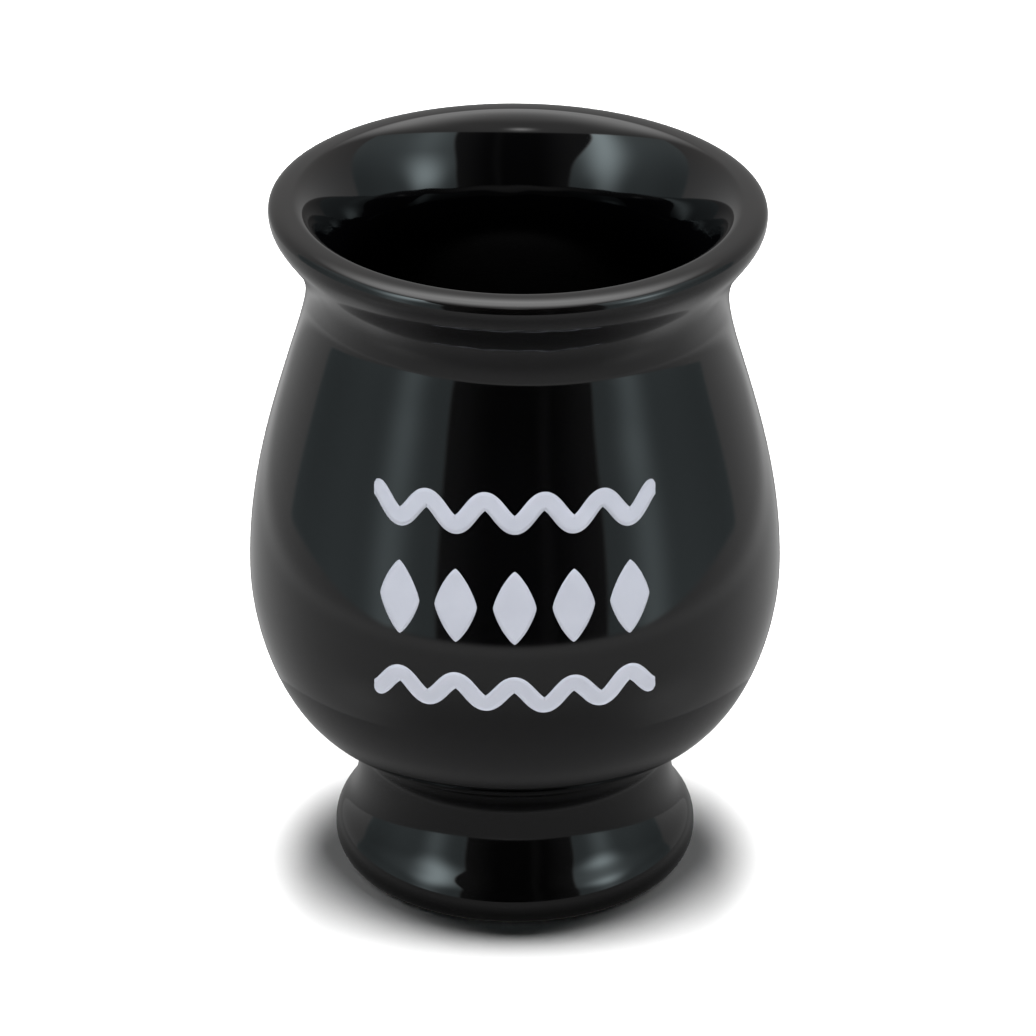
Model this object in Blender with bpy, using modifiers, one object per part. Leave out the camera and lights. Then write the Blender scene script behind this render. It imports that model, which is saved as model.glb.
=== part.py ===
"""A footed ceramic cup for mate tea, empty, at its real size.

Metres, +Z up. The origin is the centre of the foot ring, on the surface that the cup stands on.
The cup is one fired piece, so it is one turned solid: a rolled lip on a flared neck, a round
belly, a narrow throat, and a hollow foot that stands on a flat ring of bare clay.
"""

from math import cos, radians, sin
from typing import NamedTuple

import bmesh
import bpy
from mathutils import Vector
from mathutils.geometry import interpolate_bezier

MM = 0.001

# Outside
CUP_HEIGHT = 115.3 * MM
LIP_TOP_RADIUS = 35.4 * MM
LIP_RADIUS = 39.2 * MM
LIP_HEIGHT = 113.5 * MM
NECK_RADIUS = 33.5 * MM
NECK_HEIGHT = 99.8 * MM
BELLY_RADIUS = 43.0 * MM
BELLY_HEIGHT = 52.0 * MM
UNDERSIDE_RADIUS = 32.1 * MM
UNDERSIDE_HEIGHT = 25.7 * MM
UNDERSIDE_SLOPE = 24
THROAT_RADIUS = 25.7 * MM
THROAT_HEIGHT = 18.3 * MM
FOOT_RADIUS = 29.8 * MM
FOOT_HEIGHT = 2.6 * MM

# Flat ring that the cup stands on
RING_OUTER_RADIUS = 29.0 * MM
RING_INNER_RADIUS = 25.0 * MM

# Inside, by the thickness of the fired wall: its rings lie a little higher than those outside
NECK_WALL = 5.9 * MM
BELLY_WALL = 4.6 * MM
INSIDE_RISE = 1.0 * MM
BOWL_BOTTOM_HEIGHT = 27.0 * MM

# Hollow under the foot
BOWL_BOTTOM_WALL = 6.0 * MM
HOLLOW_RADIUS = 21.4 * MM
HOLLOW_SHOULDER_HEIGHT = 13.5 * MM
HOLLOW_DRAFT = 17

# Sides of the turned solid: a multiple of four, so the widest rings reach full size on X and Y
TURN_STEPS = 64
MERGE_DISTANCE = 0.01 * MM

# Headings of the profile's path, in degrees
OUTWARD = 0
UP = 90
INWARD = 180
DOWN = 270

GLAZE_COLOUR = (0.006, 0.006, 0.007, 1.0)
GLAZE_ROUGHNESS = 0.06


class Ring(NamedTuple):
    """A ring that the profile passes through on its way from the bowl's bottom to the hollow.

    The path passes it in its heading. Before and after say how far the path keeps near that
    heading on either side, as shares of the way to the next ring. Pieces is the number of
    straight pieces from here to the next ring.
    """

    radius: float
    height: float
    heading: float
    before: float = 0.5
    after: float = 0.5
    pieces: int = 0

    def place(self):
        return Vector((self.radius, self.height))

    def direction(self):
        angle = radians(self.heading)
        return Vector((cos(angle), sin(angle)))


def inside_rings():
    """From the middle of the bowl's bottom up the inner wall to the neck, below the flared mouth."""
    neck = NECK_RADIUS - NECK_WALL
    belly = BELLY_RADIUS - BELLY_WALL
    return [
        Ring(0.0, BOWL_BOTTOM_HEIGHT, OUTWARD, after=0.66, pieces=9),
        Ring(belly, BELLY_HEIGHT + INSIDE_RISE, UP, before=0.66, after=0.45, pieces=8),
        Ring(neck, NECK_HEIGHT + INSIDE_RISE, UP, before=0.22, after=0.43, pieces=9),
    ]


def outside_rings():
    """From the top of the lip down the outer wall to the outer edge of the foot's flat ring."""
    inward_and_down = INWARD + UNDERSIDE_SLOPE
    return [
        Ring(LIP_TOP_RADIUS, CUP_HEIGHT, OUTWARD, before=0.30, after=0.80, pieces=7),
        Ring(LIP_RADIUS, LIP_HEIGHT, DOWN, before=0.80, after=0.30, pieces=7),
        Ring(NECK_RADIUS, NECK_HEIGHT, DOWN, before=0.54, after=0.17, pieces=8),
        Ring(BELLY_RADIUS, BELLY_HEIGHT, DOWN, before=0.45, after=0.42, pieces=7),
        Ring(UNDERSIDE_RADIUS, UNDERSIDE_HEIGHT, inward_and_down, before=0.32, after=0.33, pieces=5),
        Ring(THROAT_RADIUS, THROAT_HEIGHT, DOWN, before=0.25, after=0.83, pieces=8),
        Ring(FOOT_RADIUS, FOOT_HEIGHT, DOWN, before=0.365, after=0.44, pieces=3),
        Ring(RING_OUTER_RADIUS, 0.0, INWARD, before=0.30, pieces=1),
    ]


def hollow_rings():
    """From the inner edge of the foot's flat ring up the domed hollow to its middle."""
    hollow_top = BOWL_BOTTOM_HEIGHT - BOWL_BOTTOM_WALL
    return [
        Ring(RING_INNER_RADIUS, 0.0, UP + HOLLOW_DRAFT, after=0.40, pieces=3),
        Ring(HOLLOW_RADIUS, HOLLOW_SHOULDER_HEIGHT, UP, before=0.45, after=0.75, pieces=6),
        Ring(0.0, hollow_top, INWARD, before=0.62),
    ]


def curve_between(start, end):
    """Points of the curve from one ring to the next, without the first."""
    chord = end.place() - start.place()
    start_reach = start.after * chord.dot(start.direction())
    end_reach = end.before * chord.dot(end.direction())
    start_handle = start.place() + start.direction() * start_reach
    end_handle = end.place() - end.direction() * end_reach
    return interpolate_bezier(start.place(), start_handle, end_handle, end.place(), start.pieces + 1)[1:]


def cup_profile():
    rings = inside_rings() + outside_rings() + hollow_rings()
    points = [rings[0].place()]
    for start, end in zip(rings, rings[1:]):
        points += curve_between(start, end)
    return points


def glaze():
    material = bpy.data.materials.new("black_glaze")
    material.use_nodes = True
    shader = material.node_tree.nodes["Principled BSDF"]
    shader.inputs["Base Color"].default_value = GLAZE_COLOUR
    shader.inputs["Roughness"].default_value = GLAZE_ROUGHNESS
    shader.inputs["Metallic"].default_value = 0.0
    return material


def turned_solid(name, profile, material, collection):
    """A profile in the XZ plane, turned a full circle about Z and closed at its two poles."""
    mesh = bpy.data.meshes.new(name)
    bm = bmesh.new()
    corners = [bm.verts.new((radius, 0.0, height)) for radius, height in profile]
    for first, second in zip(corners, corners[1:]):
        bm.edges.new((first, second))
    bm.to_mesh(mesh)
    bm.free()
    mesh.materials.append(material)
    turned = bpy.data.objects.new(name, mesh)
    collection.objects.link(turned)
    screw = turned.modifiers.new("turn", "SCREW")
    screw.axis = "Z"
    screw.steps = TURN_STEPS
    screw.render_steps = TURN_STEPS
    screw.use_merge_vertices = True
    screw.merge_threshold = MERGE_DISTANCE
    screw.use_smooth_shade = True
    return turned


def main():
    for leftover in list(bpy.data.objects):
        bpy.data.objects.remove(leftover)
    collection = bpy.data.collections.new("mate_cup")
    bpy.context.scene.collection.children.link(collection)
    turned_solid("cup", cup_profile(), glaze(), collection)


main()
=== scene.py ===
"""The looks of a footed ceramic cup for mate tea: black gloss glaze, a pale print, a clay foot.

Everything is in metres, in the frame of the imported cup: +Z up, the print facing -Y.
"""

from math import cos, exp, pi, radians, sin, sqrt
from typing import NamedTuple

import bmesh
import bpy
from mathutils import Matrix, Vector, noise
from mathutils.geometry import interpolate_bezier


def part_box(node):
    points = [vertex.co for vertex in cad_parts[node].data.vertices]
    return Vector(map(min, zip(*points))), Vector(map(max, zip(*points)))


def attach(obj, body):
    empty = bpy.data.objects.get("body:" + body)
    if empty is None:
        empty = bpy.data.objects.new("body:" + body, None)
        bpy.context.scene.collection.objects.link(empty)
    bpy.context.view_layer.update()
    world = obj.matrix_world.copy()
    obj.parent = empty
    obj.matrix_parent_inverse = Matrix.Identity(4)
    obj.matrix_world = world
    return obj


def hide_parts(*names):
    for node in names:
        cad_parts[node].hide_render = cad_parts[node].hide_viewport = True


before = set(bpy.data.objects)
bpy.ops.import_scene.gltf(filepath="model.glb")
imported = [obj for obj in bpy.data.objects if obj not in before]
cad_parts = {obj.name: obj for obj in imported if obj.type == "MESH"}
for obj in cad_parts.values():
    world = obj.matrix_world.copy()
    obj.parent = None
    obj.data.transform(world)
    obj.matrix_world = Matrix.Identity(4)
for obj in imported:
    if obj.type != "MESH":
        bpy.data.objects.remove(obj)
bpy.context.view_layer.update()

MM = 0.001

# The turned cup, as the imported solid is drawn
CUP_LOW, CUP_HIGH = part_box("cup")
CUP_HEIGHT = CUP_HIGH.z - CUP_LOW.z
LIP_TOP_RADIUS = 35.4 * MM
LIP_RADIUS = 39.2 * MM
LIP_HEIGHT = 113.5 * MM
NECK_RADIUS = 33.5 * MM
NECK_HEIGHT = 99.8 * MM
BELLY_RADIUS = CUP_HIGH.x
BELLY_HEIGHT = 52.0 * MM
UNDERSIDE_RADIUS = 32.1 * MM
UNDERSIDE_HEIGHT = 25.7 * MM
UNDERSIDE_SLOPE = 24
THROAT_RADIUS = 25.7 * MM
THROAT_HEIGHT = 18.3 * MM
FOOT_RADIUS = 29.8 * MM
FOOT_HEIGHT = 2.6 * MM
RING_OUTER_RADIUS = 29.0 * MM
RING_INNER_RADIUS = 25.0 * MM
NECK_WALL = 5.9 * MM
BELLY_WALL = 4.6 * MM
INSIDE_RISE = 1.0 * MM
BOWL_BOTTOM_HEIGHT = 27.0 * MM
BOWL_BOTTOM_WALL = 6.0 * MM
HOLLOW_RADIUS = 21.4 * MM
HOLLOW_SHOULDER_HEIGHT = 13.5 * MM
HOLLOW_DRAFT = 17

# Fineness of the turned meshes
TURN_STEPS = 288
MERGE_DISTANCE = 0.005 * MM

# How the fired cup strays from a perfect turned shape: its rim sags a little towards -Y and +X,
# and the glaze lies in slow waves, deeper where it gathered under the lip. There are none near
# the axis, where outward has no direction.
RIM_SLOPE = Vector((-0.0093, 0.011, 0.0))
RIM_SHIFT = 0.5 * MM
LEAN_FROM = 88.0 * MM
LEAN_TO = 104.0 * MM
WAVE_LENGTH = 17.0 * MM
WAVE_DEPTH = 0.020 * MM
WAVES_FROM_RADIUS = 4.6 * MM
GATHER_HEIGHT = 105.0 * MM
GATHER_REACH = 3.0 * MM
GATHER_DEPTH = 0.055 * MM
GATHER_LENGTH = 5.0 * MM

# The bare clay ring that the cup stands on: the glaze stops a little above and beside it
GLAZE_STOP = 0.25 * MM
CLAY_MARGIN = 0.25 * MM
CLAY_HEIGHT = 1.2 * MM
CLAY_EDGE = 0.3 * MM
CLAY_EDGE_PIECES = 4

# Headings of the profile's path, in degrees
OUTWARD = 0
UP = 90
INWARD = 180
DOWN = 270

# The print on the front of the belly, in its flat size before it is wrapped round the cup
PRINT_MIDDLE_HEIGHT = 64.8 * MM
PRINT_WIDTH = 46.0 * MM
PRINT_HEIGHT = 35.5 * MM
PRINT_THICKNESS = 0.08 * MM
PRINT_LIFT = 0.05 * MM
MOTIFS = 5
STROKE_WIDTH = 2.8 * MM
GARLAND_SWING = 3.6 * MM
GARLAND_LENGTH = 1.4 * PRINT_WIDTH
HAND_DRIFT = 0.25 * MM
HAND_DRIFT_TURN = 9.0
LOZENGE_WIDTH = 8.0 * MM
LOZENGE_HEIGHT = 14.0 * MM
CORNER_ROUNDING = 0.16

# A stroke takes its direction over this share of its way, and its ends never close to a point
DIRECTION_STEP = 0.002
LEAST_TAPER = 0.03

# Colours, in linear red, green, blue and alpha
BLACK_GLAZE = (0.0007, 0.0007, 0.0009, 1.0)
THIN_GLAZE = (0.0030, 0.0022, 0.0018, 1.0)
DARK_CLAY = (0.40, 0.33, 0.25, 1.0)
LIGHT_CLAY = (0.54, 0.46, 0.37, 1.0)
CLAY_SPECK = (0.20, 0.14, 0.10, 1.0)
THIN_ENAMEL = (0.44, 0.46, 0.53, 1.0)
FULL_ENAMEL = (0.51, 0.53, 0.60, 1.0)
PAPER = (0.86, 0.86, 0.86, 1.0)
PAPER_GRAIN = (0.88, 0.88, 0.88, 1.0)
WHITE = (1.0, 1.0, 1.0, 1.0)
BOX_TINT = (0.88, 1.04, 1.08, 1.0)

# The photographer's camera
VIEW_ELEVATION = 27.28
VIEW_DISTANCE = 0.8089
VIEW_AIM = Vector((0.5 * MM, 0.0, 58.9 * MM))
LENS = 173.75
SENSOR = 36.0

# The room that the gloss sees, by azimuth and elevation in degrees: azimuth 0 is -Y, 90 is +X
LEFT_STRIPE = 55.0
RIGHT_STRIPE = 59.5
BOX_TOP = 50.5
BOX_EDGE_BLUR = 0.7
# A glowing disc under the paper that only the gloss sees, with the cup's shadow painted into its
# glow
SHADED_RADIUS = 66.0 * MM
SHADED_DEPTH = 0.3 * MM

# The room that the camera, the paper and the print see
LAMP_SIZE = (0.96, 0.40)
PAPER_RADIUS = 0.7
DISC_SIDES = 96
BACKDROP_RADIUS = 4.0
BACKDROP_LEVEL = 1.3


class Ring(NamedTuple):
    """A ring that the profile passes through, in its heading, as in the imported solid.

    Before and after say how far the path keeps near that heading on either side, as shares of
    the way to the next ring. Pieces is the number of straight pieces from here to the next ring.
    """

    radius: float
    height: float
    heading: float
    before: float = 0.5
    after: float = 0.5
    pieces: int = 0

    def place(self):
        return Vector((self.radius, self.height))

    def direction(self):
        angle = radians(self.heading)
        return Vector((cos(angle), sin(angle)))


def inside_rings():
    """From the middle of the bowl's bottom up the inner wall to the neck, below the mouth."""
    neck = NECK_RADIUS - NECK_WALL
    belly = BELLY_RADIUS - BELLY_WALL
    return [
        Ring(0.0, BOWL_BOTTOM_HEIGHT, OUTWARD, after=0.66, pieces=22),
        Ring(belly, BELLY_HEIGHT + INSIDE_RISE, UP, before=0.66, after=0.45, pieces=24),
        Ring(neck, NECK_HEIGHT + INSIDE_RISE, UP, before=0.22, after=0.43, pieces=34),
    ]


def outside_rings():
    """From the top of the lip down the outer wall to the outer edge of the foot's flat ring."""
    sloping = INWARD + UNDERSIDE_SLOPE
    return [
        Ring(LIP_TOP_RADIUS, CUP_HEIGHT, OUTWARD, before=0.30, after=0.80, pieces=20),
        Ring(LIP_RADIUS, LIP_HEIGHT, DOWN, before=0.80, after=0.30, pieces=32),
        Ring(NECK_RADIUS, NECK_HEIGHT, DOWN, before=0.54, after=0.17, pieces=44),
        Ring(BELLY_RADIUS, BELLY_HEIGHT, DOWN, before=0.45, after=0.42, pieces=34),
        Ring(UNDERSIDE_RADIUS, UNDERSIDE_HEIGHT, sloping, before=0.32, after=0.33, pieces=20),
        Ring(THROAT_RADIUS, THROAT_HEIGHT, DOWN, before=0.25, after=0.83, pieces=34),
        Ring(FOOT_RADIUS, FOOT_HEIGHT, DOWN, before=0.365, after=0.44, pieces=12),
        Ring(RING_OUTER_RADIUS, GLAZE_STOP, INWARD, before=0.30, pieces=4),
    ]


def hollow_rings():
    """From the inner edge of the foot's flat ring up the domed hollow to its middle."""
    hollow_top = BOWL_BOTTOM_HEIGHT - BOWL_BOTTOM_WALL
    return [
        Ring(RING_INNER_RADIUS, GLAZE_STOP, UP + HOLLOW_DRAFT, after=0.40, pieces=12),
        Ring(HOLLOW_RADIUS, HOLLOW_SHOULDER_HEIGHT, UP, before=0.45, after=0.75, pieces=16),
        Ring(0.0, hollow_top, INWARD, before=0.62),
    ]


def curve_between(start, end):
    """Points of the curve from one ring to the next, without the first."""
    chord = end.place() - start.place()
    start_reach = start.after * chord.dot(start.direction())
    end_reach = end.before * chord.dot(end.direction())
    start_handle = start.place() + start.direction() * start_reach
    end_handle = end.place() - end.direction() * end_reach
    count = start.pieces + 1
    return interpolate_bezier(start.place(), start_handle, end_handle, end.place(), count)[1:]


def profile_through(rings):
    points = [rings[0].place()]
    for start, end in zip(rings, rings[1:]):
        points += curve_between(start, end)
    return points


def piece(name, bm, material, smooth=True):
    """A finished piece from a bmesh: its object stays at the origin."""
    mesh = bpy.data.meshes.new(name)
    bm.to_mesh(mesh)
    bm.free()
    for polygon in mesh.polygons:
        polygon.use_smooth = smooth
    mesh.materials.append(material)
    made = bpy.data.objects.new(name, mesh)
    bpy.context.scene.collection.objects.link(made)
    return made


def turned(profile):
    """A closed bmesh: the profile, in the XZ plane, spun a full circle about Z."""
    bm = bmesh.new()
    corners = [bm.verts.new((radius, 0.0, height)) for radius, height in profile]
    for first, second in zip(corners, corners[1:]):
        bm.edges.new((first, second))
    bmesh.ops.spin(
        bm, geom=bm.verts[:] + bm.edges[:], cent=(0, 0, 0), axis=(0, 0, 1), dvec=(0, 0, 0),
        angle=2 * pi, steps=TURN_STEPS, use_merge=True, use_normal_flip=False, use_duplicate=False,
    )
    bmesh.ops.remove_doubles(bm, verts=bm.verts[:], dist=MERGE_DISTANCE)
    bmesh.ops.recalc_face_normals(bm, faces=bm.faces[:])
    return bm


class Wire:
    """An output socket in a node tree, with the arithmetic that expressions on it need."""

    def __init__(self, tree, socket=None):
        self.tree = tree
        self.socket = socket

    def add(self, kind, values=None, output=0, **settings):
        """Adds a node: first its settings, then the values or wires of its inputs.

        An input is looked up among those that the settings left switched on.
        """
        node = self.tree.nodes.new("ShaderNode" + kind)
        for name, setting in settings.items():
            setattr(node, name, setting)
        for name, value in (values or {}).items():
            socket = node.inputs[name]
            if not socket.enabled:
                socket = next(s for s in node.inputs if s.name == name and s.enabled)
            if isinstance(value, Wire):
                self.tree.links.new(value.socket, socket)
            else:
                socket.default_value = value
        return Wire(self.tree, node.outputs[output])

    def math(self, operation, *values):
        return self.add("Math", dict(enumerate(values)), operation=operation)

    def __add__(self, other):
        return self.math("ADD", self, other)

    def __sub__(self, other):
        return self.math("SUBTRACT", self, other)

    def __rsub__(self, other):
        return self.math("SUBTRACT", other, self)

    def __mul__(self, other):
        return self.math("MULTIPLY", self, other)

    def __truediv__(self, other):
        return self.math("DIVIDE", self, other)

    __radd__ = __add__
    __rmul__ = __mul__

    def size(self):
        return self.math("ABSOLUTE", self)

    def between(self, low, high):
        """0 below low, 1 above high, and smooth in between."""
        span = {"Value": self, "From Min": low, "From Max": high}
        return self.add("MapRange", span, interpolation_type="SMOOTHSTEP")

    def bell(self, middle, width):
        """1 at the middle, fading smoothly to both sides over the width."""
        away = (self - middle) / width
        return self.math("EXPONENT", away * away * -1.0)

    def noise(self, place, scale, detail=2.0, roughness=0.5):
        values = {"Vector": place, "Scale": scale, "Detail": detail, "Roughness": roughness}
        return self.add("TexNoise", values)

    def mixed(self, amount, first, second):
        """A colour between two, by an amount from 0 to 1."""
        values = {"Factor": amount, "A": first, "B": second}
        return self.add("Mix", values, output=2, data_type="RGBA")


def new_material(name):
    """A material with its shader, a Wire to build nodes with, and the object's coordinates."""
    material = bpy.data.materials.new(name)
    material.use_nodes = True
    tree = material.node_tree
    shader = tree.nodes["Principled BSDF"]
    wire = Wire(tree)
    place = wire.add("TexCoord", output="Object")
    return material, shader, wire, place


def join(wire, shader, name):
    wire.tree.links.new(wire.socket, shader.inputs[name])


def black_glaze():
    """A black gloss glaze that lies a little uneven over the clay, with a few pinholes."""
    material, shader, wire, place = new_material("black_gloss_glaze")
    shader.inputs["IOR"].default_value = 1.5
    height = wire.add("SeparateXYZ", {"Vector": place}, output="Z")

    # Thin places, at the lip and the foot's edge, go from black to a very dark brown
    at_lip = height.between(CUP_HEIGHT - 3.0 * MM, CUP_HEIGHT)
    at_foot = 1.0 - height.between(0.5 * MM, 3.0 * MM)
    thin = (at_lip + at_foot) * wire.noise(place, 140.0, 4.0)
    colour = wire.mixed(thin, BLACK_GLAZE, THIN_GLAZE)
    join(colour, shader, "Base Color")

    # Breath-like haze in the gloss, and less gloss deep in the bowl
    haze = wire.noise(place, 45.0, 5.0, 0.6)
    facing = wire.add("NewGeometry", output="Normal")
    flat = wire.add("VectorMath", {0: place, 1: (1.0, 1.0, 0.0)}, operation="MULTIPLY")
    outward = wire.add("VectorMath", {0: flat, 1: facing}, operation="DOT_PRODUCT", output="Value")
    in_bowl = (1.0 - outward.between(0.0, 3.0 * MM)) * (1.0 - height.between(80.0 * MM, 98.0 * MM))
    in_bowl *= height.between(24.0 * MM, 26.0 * MM)
    join(0.035 + 0.03 * haze + 0.45 * in_bowl, shader, "Roughness")

    # A fine ripple and a few pinholes; the slow waves are in the mesh
    ripple = wire.noise(place, 160.0, 1.0, 0.4)
    cells = wire.add("TexVoronoi", {"Vector": place, "Scale": 90.0}, output="Distance")
    pinhole = 1.0 - cells.between(0.0, 0.03)
    relief = ripple * 0.2 - pinhole * 0.6
    bump = wire.add("Bump", {"Strength": 1.0, "Distance": 0.02 * MM, "Height": relief})
    join(bump, shader, "Normal")
    return material


def bare_clay():
    """The unglazed clay of the foot ring: buff, sandy and matt."""
    material, shader, wire, place = new_material("bare_buff_clay")
    patches = wire.noise(place, 90.0, 4.0)
    grains = wire.noise(place, 1400.0, 2.0)
    clay = wire.mixed(patches, DARK_CLAY, LIGHT_CLAY)
    specks = grains.between(0.62, 0.70)
    colour = wire.mixed(specks * 0.7, clay, CLAY_SPECK)
    join(colour, shader, "Base Color")
    join(0.80 + 0.12 * grains, shader, "Roughness")
    relief = grains + patches * 0.5
    bump = wire.add("Bump", {"Strength": 1.0, "Distance": 0.08 * MM, "Height": relief})
    join(bump, shader, "Normal")
    return material


def pale_enamel():
    """The fired-on enamel of the print: a pale lilac white, a little uneven in cover."""
    material, shader, wire, place = new_material("pale_enamel_print")
    cover = wire.noise(place, 220.0, 3.0)
    colour = wire.mixed(cover, THIN_ENAMEL, FULL_ENAMEL)
    join(colour, shader, "Base Color")
    join(0.42 + 0.12 * cover, shader, "Roughness")
    grain = wire.noise(place, 900.0, 2.0)
    bump = wire.add("Bump", {"Strength": 1.0, "Distance": 0.01 * MM, "Height": grain})
    join(bump, shader, "Normal")
    return material


def smooth_step(value, low, high):
    """0 below low, 1 above high, and smooth in between."""
    share = min(1.0, max(0.0, (value - low) / (high - low)))
    return share * share * (3.0 - 2.0 * share)


def fired(place):
    """Where a point of the perfect turned cup lies on the fired one."""
    waves = noise.noise(place / WAVE_LENGTH) * WAVE_DEPTH
    gather = exp(-((place.z - GATHER_HEIGHT) / GATHER_REACH) ** 2)
    waves += noise.noise(place / GATHER_LENGTH) * GATHER_DEPTH * gather
    away = Vector((place.x, place.y, 0.0))
    moved = place.copy()
    if away.length > WAVES_FROM_RADIUS:
        moved += away.normalized() * waves
    lean = smooth_step(place.z, LEAN_FROM, LEAN_TO)
    return moved + Vector((RIM_SHIFT, 0.0, RIM_SLOPE.dot(place))) * lean


def glazed_cup(material):
    """The whole cup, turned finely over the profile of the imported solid, then strayed a little."""
    rings = inside_rings() + outside_rings() + hollow_rings()
    bm = turned(profile_through(rings))
    for vert in bm.verts:
        vert.co = fired(vert.co)
    return piece("glazed_cup", bm, material)


def clay_ring(material):
    """The bare ring under the foot, its edges rubbed round, sunk into the glazed foot."""
    outer = RING_OUTER_RADIUS - CLAY_MARGIN
    inner = RING_INNER_RADIUS + CLAY_MARGIN
    corners = [(outer, CLAY_HEIGHT), (outer, 0.0), (inner, 0.0), (inner, CLAY_HEIGHT)]
    bm = turned(corners + corners[:1])
    foot_edges = [edge for edge in bm.edges if all(vert.co.z < CLAY_EDGE for vert in edge.verts)]
    rims = [edge for edge in foot_edges if edge.calc_face_angle() > pi / 4]
    bmesh.ops.bevel(
        bm, geom=rims, offset=CLAY_EDGE, segments=CLAY_EDGE_PIECES, profile=0.5,
        affect="EDGES", material=-1,
    )
    return piece("bare_clay_ring", bm, material)


def radius_at(height, wall):
    """The radius, at a height, of a wall given as a profile from its top down."""
    for upper, lower in zip(wall, wall[1:]):
        if lower.y <= height <= upper.y:
            share = (height - lower.y) / (upper.y - lower.y)
            return lower.x + (upper.x - lower.x) * share
    raise ValueError("height is off the wall")


def stroke(bm, centre_line, length, across=4, along=200):
    """A flat brush stroke with round ends, laid as a grid along a line given from 0 to 1."""
    made = bmesh.ops.create_grid(bm, x_segments=along, y_segments=across, size=1.0)
    half_width = STROKE_WIDTH / 2
    round_end = STROKE_WIDTH / length
    for vert in made["verts"]:
        travel, side = vert.co.x, vert.co.y
        share = 0.5 + 0.5 * travel
        before, after = max(0.0, share - DIRECTION_STEP), min(1.0, share + DIRECTION_STEP)
        step = centre_line(after) - centre_line(before)
        normal = Vector((-step.y, step.x)).normalized()
        into_end = max(0.0, (abs(travel) - 1.0 + round_end) / round_end)
        taper = sqrt(max(LEAST_TAPER, 1.0 - into_end * into_end))
        flat = centre_line(share) + normal * side * half_width * taper
        vert.co = Vector((flat.x, 0.0, flat.y))


def wrap_on_cup(bm):
    """Bends a print drawn in the XZ plane round the front of the cup; its Y is its depth."""
    neck_to_underside = profile_through(outside_rings()[2:5])
    for vert in bm.verts:
        radius = radius_at(vert.co.z, neck_to_underside)
        angle = vert.co.x / radius
        radius += PRINT_LIFT - vert.co.y
        vert.co = fired(Vector((radius * sin(angle), -radius * cos(angle), vert.co.z)))


def garland(level, flip):
    """A hand-drawn wavy line across the print: where it lies at each share of its way."""

    def line(share):
        swing = flip * GARLAND_SWING / 2 * cos(2.0 * pi * MOTIFS * share)
        drift = HAND_DRIFT * sin(HAND_DRIFT_TURN * share + level / STROKE_WIDTH)
        return Vector((PRINT_WIDTH * (share - 0.5), level + swing + drift))

    return line


def lozenge(bm, middle, squares=12):
    """A filled lozenge that stands on its tip, its corners rounded."""
    made = bmesh.ops.create_grid(bm, x_segments=squares, y_segments=squares, size=1.0)
    for vert in made["verts"]:
        across, up = (vert.co.x + vert.co.y) / 2, (vert.co.x - vert.co.y) / 2
        reach = 1.0 - CORNER_ROUNDING * max(abs(across), abs(up)) ** 4
        height = PRINT_MIDDLE_HEIGHT + LOZENGE_HEIGHT / 2 * up * reach
        vert.co = Vector((middle + LOZENGE_WIDTH / 2 * across * reach, 0.0, height))


def front_print(material):
    """A plain painted band: a row of filled lozenges between two wavy lines."""
    bm = bmesh.new()
    for flip in (1, -1):
        level = PRINT_MIDDLE_HEIGHT + flip * (PRINT_HEIGHT - GARLAND_SWING - STROKE_WIDTH) / 2
        stroke(bm, garland(level, flip), GARLAND_LENGTH)
    for count in range(MOTIFS):
        lozenge(bm, PRINT_WIDTH * ((count + 0.5) / MOTIFS - 0.5))
    backs = bmesh.ops.extrude_face_region(bm, geom=bm.faces[:], use_keep_orig=True)["geom"]
    sunk = [part for part in backs if isinstance(part, bmesh.types.BMVert)]
    bmesh.ops.translate(bm, verts=sunk, vec=(0.0, PRINT_THICKNESS, 0.0))
    wrap_on_cup(bm)
    bmesh.ops.recalc_face_normals(bm, faces=bm.faces[:])
    return piece("front_print", bm, material)


def camera():
    data = bpy.data.cameras.new("camera")
    data.lens = LENS
    data.sensor_width = SENSOR
    made = bpy.data.objects.new("camera", data)
    elevation = radians(VIEW_ELEVATION)
    back = Vector((0.0, -cos(elevation), sin(elevation)))
    made.location = VIEW_AIM + back * VIEW_DISTANCE
    made.rotation_mode = "QUATERNION"
    made.rotation_quaternion = (-back).to_track_quat("-Z", "Y")
    bpy.context.scene.collection.objects.link(made)
    bpy.context.scene.camera = made


def glow(name, level):
    """A glowing material: its level is an expression on azimuth and on reach, from the axis."""
    material = bpy.data.materials.new(name)
    material.use_nodes = True
    tree = material.node_tree
    tree.nodes.remove(tree.nodes["Principled BSDF"])
    wire = Wire(tree)
    place = wire.add("TexCoord", output="Object")
    x = wire.add("SeparateXYZ", {"Vector": place}, output="X")
    y = wire.add("SeparateXYZ", {"Vector": place}, output="Y")
    reach = wire.math("SQRT", x * x + y * y)
    azimuth = wire.math("ARCTAN2", x, y * -1.0) * (180.0 / pi)
    light = wire.add("Emission", {"Strength": level(azimuth, reach)}, output="Emission")
    wire.tree.links.new(light.socket, tree.nodes["Material Output"].inputs["Surface"])
    return material


def only_seen(thing, camera=False, glossy=False, diffuse=False, shadow=False):
    """A studio piece that shows only in some kinds of light path."""
    thing.visible_camera = camera
    thing.visible_glossy = glossy
    thing.visible_diffuse = diffuse
    thing.visible_shadow = shadow
    thing.visible_transmission = False
    thing.visible_volume_scatter = False


def disc(name, radius, height, material):
    bm = bmesh.new()
    bmesh.ops.create_circle(bm, cap_ends=True, segments=DISC_SIDES, radius=radius)
    bmesh.ops.translate(bm, verts=bm.verts[:], vec=(0, 0, height))
    return piece(name, bm, material, smooth=False)


def shaded_paper(azimuth, reach):
    """The paper round the foot as the gloss shows it, a glow with the cup's shadow painted in:
    darker near the cup, lighter behind it.
    """
    behind = azimuth.size().between(60.0, 150.0)
    return (0.07 + 0.23 * reach.between(29.0 * MM, 42.0 * MM)) * (1.0 + 0.15 * behind)


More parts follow.
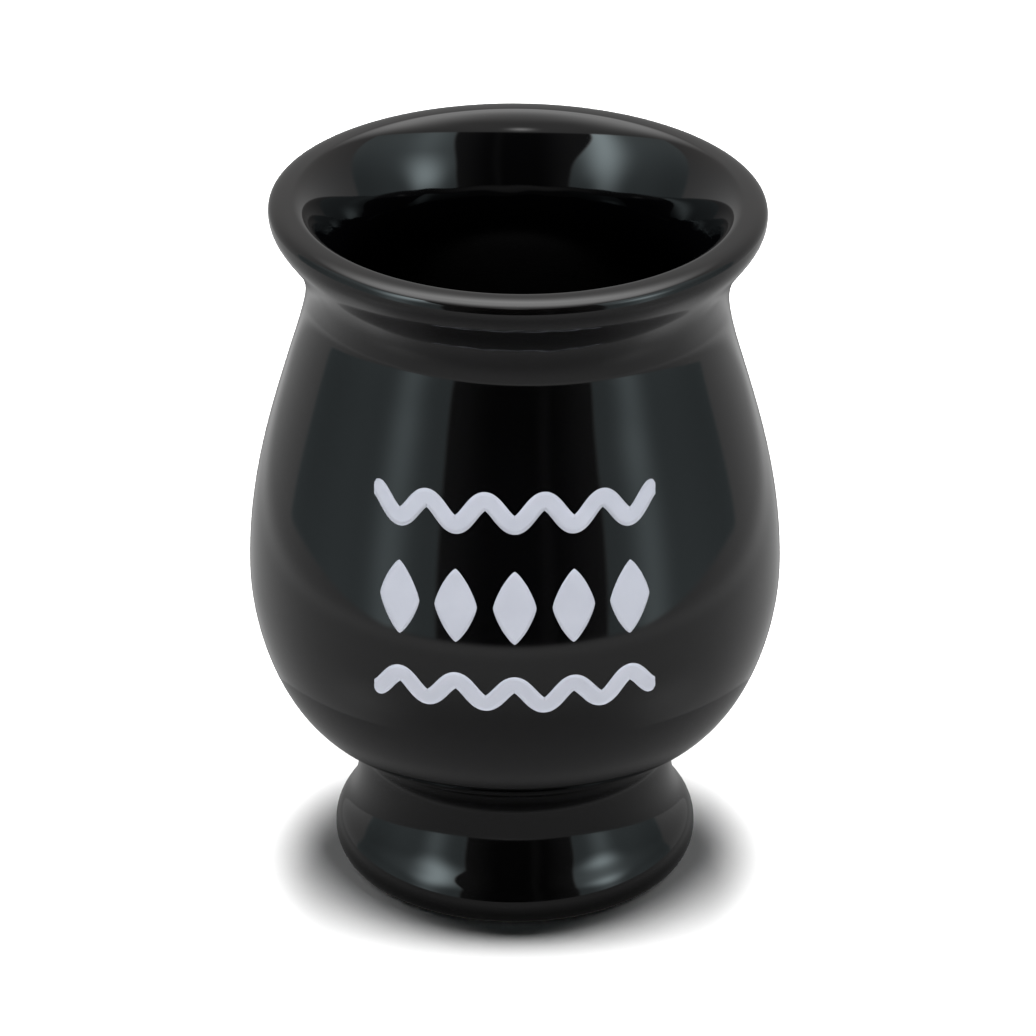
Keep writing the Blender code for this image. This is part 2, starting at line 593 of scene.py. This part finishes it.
def white_paper():
    material, shader, wire, place = new_material("white_paper")
    grain = wire.noise(place, 900.0, 2.0)
    join(wire.mixed(grain, PAPER, PAPER_GRAIN), shader, "Base Color")
    shader.inputs["Roughness"].default_value = 1.0
    shader.inputs["Specular IOR Level"].default_value = 0.0
    return material


def below_box_top(elevation):
    return 1.0 - elevation.between(BOX_TOP - BOX_EDGE_BLUR, BOX_TOP + BOX_EDGE_BLUR)


def softbox(aside, elevation, inner_edge, outer_edge, middle, glare):
    """A softbox at one side: how far it covers a direction, and how bright it is there.

    Aside is the azimuth towards its side. A hot stripe shows where its lamp stands.
    """
    bottom = -19.0 + 4.5 * aside.between(50.0, 105.0)
    covers = aside.between(inner_edge - 1.5, inner_edge + 1.5)
    covers *= 1.0 - aside.between(outer_edge - 2.0, outer_edge + 2.0)
    covers *= elevation.between(bottom - BOX_EDGE_BLUR, bottom + BOX_EDGE_BLUR)
    covers *= below_box_top(elevation)
    stripe = aside.bell(middle, 8.0 + 4.5 * elevation.between(0.0, 35.0)) * glare
    level = 0.32 + 0.20 * (1.0 - aside.between(75.0, 108.0)) + 0.45 * elevation.between(10.0, 50.0)
    return covers, level + stripe


def studio_light():
    """What the gloss sees: softboxes at the sides, a dark gap in front, a wide lamp overhead."""
    world = bpy.data.worlds.new("studio_room")
    bpy.context.scene.world = world
    world.use_nodes = True
    tree = world.node_tree
    wire = Wire(tree)
    way = wire.add("TexCoord", output="Generated")
    x = wire.add("SeparateXYZ", {"Vector": way}, output="X")
    y = wire.add("SeparateXYZ", {"Vector": way}, output="Y")
    z = wire.add("SeparateXYZ", {"Vector": way}, output="Z")
    azimuth = wire.math("ARCTAN2", x, y * -1.0) * (180.0 / pi)
    elevation = wire.math("ARCSINE", z) * (180.0 / pi)

    # The pale floor is lighter far off, with a bright seam where it meets the walls. The cup
    # darkens it straight behind, and the softboxes light it at the sides.
    floor = 0.29 + 0.22 * elevation.between(-52.0, -22.0) + 0.12 * elevation.bell(-20.5, 1.5)
    straight_behind = azimuth.size().between(160.0, 176.0)
    floor = (floor + 0.07 * y.between(0.0, 0.6)) * (1.0 - 0.70 * straight_behind)
    floor += 0.18 * azimuth.size().bell(78.0, 22.0) * elevation.bell(-43.0, 7.0)
    floor += 0.20 * azimuth.size().bell(120.0, 35.0) * elevation.bell(-53.0, 8.0)

    # The walls are dim; the wide lamp overhead hangs over the back, and a small one shows in front
    ceiling = 0.62 + 0.55 * elevation.between(60.0, 74.0) + 0.5 * x * x
    ceiling += 2.6 * y.between(-0.40, 0.35)
    small_lamp = 3.0 * azimuth.bell(-1.0, 8.0) * elevation.bell(53.8, 1.6)
    ceiling_edge = 28.0 + 32.0 * x.size()
    wall = 0.48 + (ceiling - 0.48) * elevation.between(ceiling_edge, ceiling_edge + 24.0)
    strength = floor + (wall + small_lamp - floor) * elevation.between(-19.5, -16.5)

    # The dark gap at the camera, a little lighter towards the softboxes
    spill = 0.10 * (azimuth - 3.0).size().between(12.0, 42.0) + 0.035 * azimuth.bell(14.0, 3.0)
    gap = 1.0 - azimuth.size().between(52.0, 56.0)
    gap *= elevation.between(-19.7, -18.3) * below_box_top(elevation)
    strength += (0.018 + spill - strength) * gap

    # The softboxes: their inner edges draw apart upwards, and each has its own hot stripe
    opening = elevation.between(22.0, 50.0)
    left_glare = 0.66 + 3.2 * elevation.between(0.0, 36.0)
    right_glare = 0.66 + 2.8 * (elevation.between(0.0, 20.0) - elevation.between(20.0, 36.0))
    boxes = [
        softbox(azimuth * -1.0, elevation, 33.0 + 17.0 * opening, 113.0, LEFT_STRIPE, left_glare),
        softbox(azimuth, elevation, 39.0 + 4.0 * opening, 110.0, RIGHT_STRIPE, right_glare),
    ]
    in_boxes = 0.0
    for covers, level in boxes:
        strength += (level - strength) * covers
        in_boxes = covers + in_boxes
    colour = wire.mixed(in_boxes, WHITE, BOX_TINT)
    background = tree.nodes["Background"]
    tree.links.new(colour.socket, background.inputs["Color"])
    tree.links.new(strength.socket, background.inputs["Strength"])
    world.cycles_visibility.diffuse = False
    world.cycles_visibility.camera = False


def lamp(name, place, power):
    """A wide lamp turned to the cup, for the paper and the print. The gloss sees the room."""
    data = bpy.data.lights.new(name, "AREA")
    data.shape = "ELLIPSE"
    data.size, data.size_y = LAMP_SIZE
    data.energy = power
    made = bpy.data.objects.new(name, data)
    made.location = place
    made.rotation_mode = "QUATERNION"
    made.rotation_quaternion = place.to_track_quat("Z", "Y")
    made.visible_glossy = False
    bpy.context.scene.collection.objects.link(made)


def studio():
    """White paper under the cup, white all round for the camera, and the lamps and the room."""
    studio_light()
    lamp("front_lamp", Vector((0.0, -0.28, 2.0)), 52.0)
    lamp("back_lamp", Vector((0.0, 0.80, 2.0)), 66.0)
    lamp("left_lamp", Vector((-0.9, 0.8, 0.5)), 4.0)
    lamp("right_lamp", Vector((0.9, 0.8, 0.5)), 4.2)
    # Painted shadow: a glowing disc, seen only in the gloss, darker round the foot where the cup's
    # shadow falls
    shade_glow = glow("shaded_paper", shaded_paper)
    shade = disc("shadow_glow_in_the_gloss", SHADED_RADIUS, -SHADED_DEPTH, shade_glow)
    only_seen(shade, glossy=True)
    paper = disc("paper", PAPER_RADIUS, 0.0, white_paper())
    only_seen(paper, camera=True, diffuse=True, shadow=True)
    bm = bmesh.new()
    bmesh.ops.create_uvsphere(bm, u_segments=48, v_segments=24, radius=BACKDROP_RADIUS)
    white_glow = glow("backdrop_white", lambda azimuth, reach: BACKDROP_LEVEL)
    backdrop = piece("backdrop", bm, white_glow)
    only_seen(backdrop, camera=True)
    bpy.context.scene.view_settings.view_transform = "Standard"


camera()
studio()
cup = glazed_cup(black_glaze())
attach(cup, "root")
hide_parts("cup")
ring = clay_ring(bare_clay())
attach(ring, "root")
printed = front_print(pale_enamel())
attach(printed, "root")
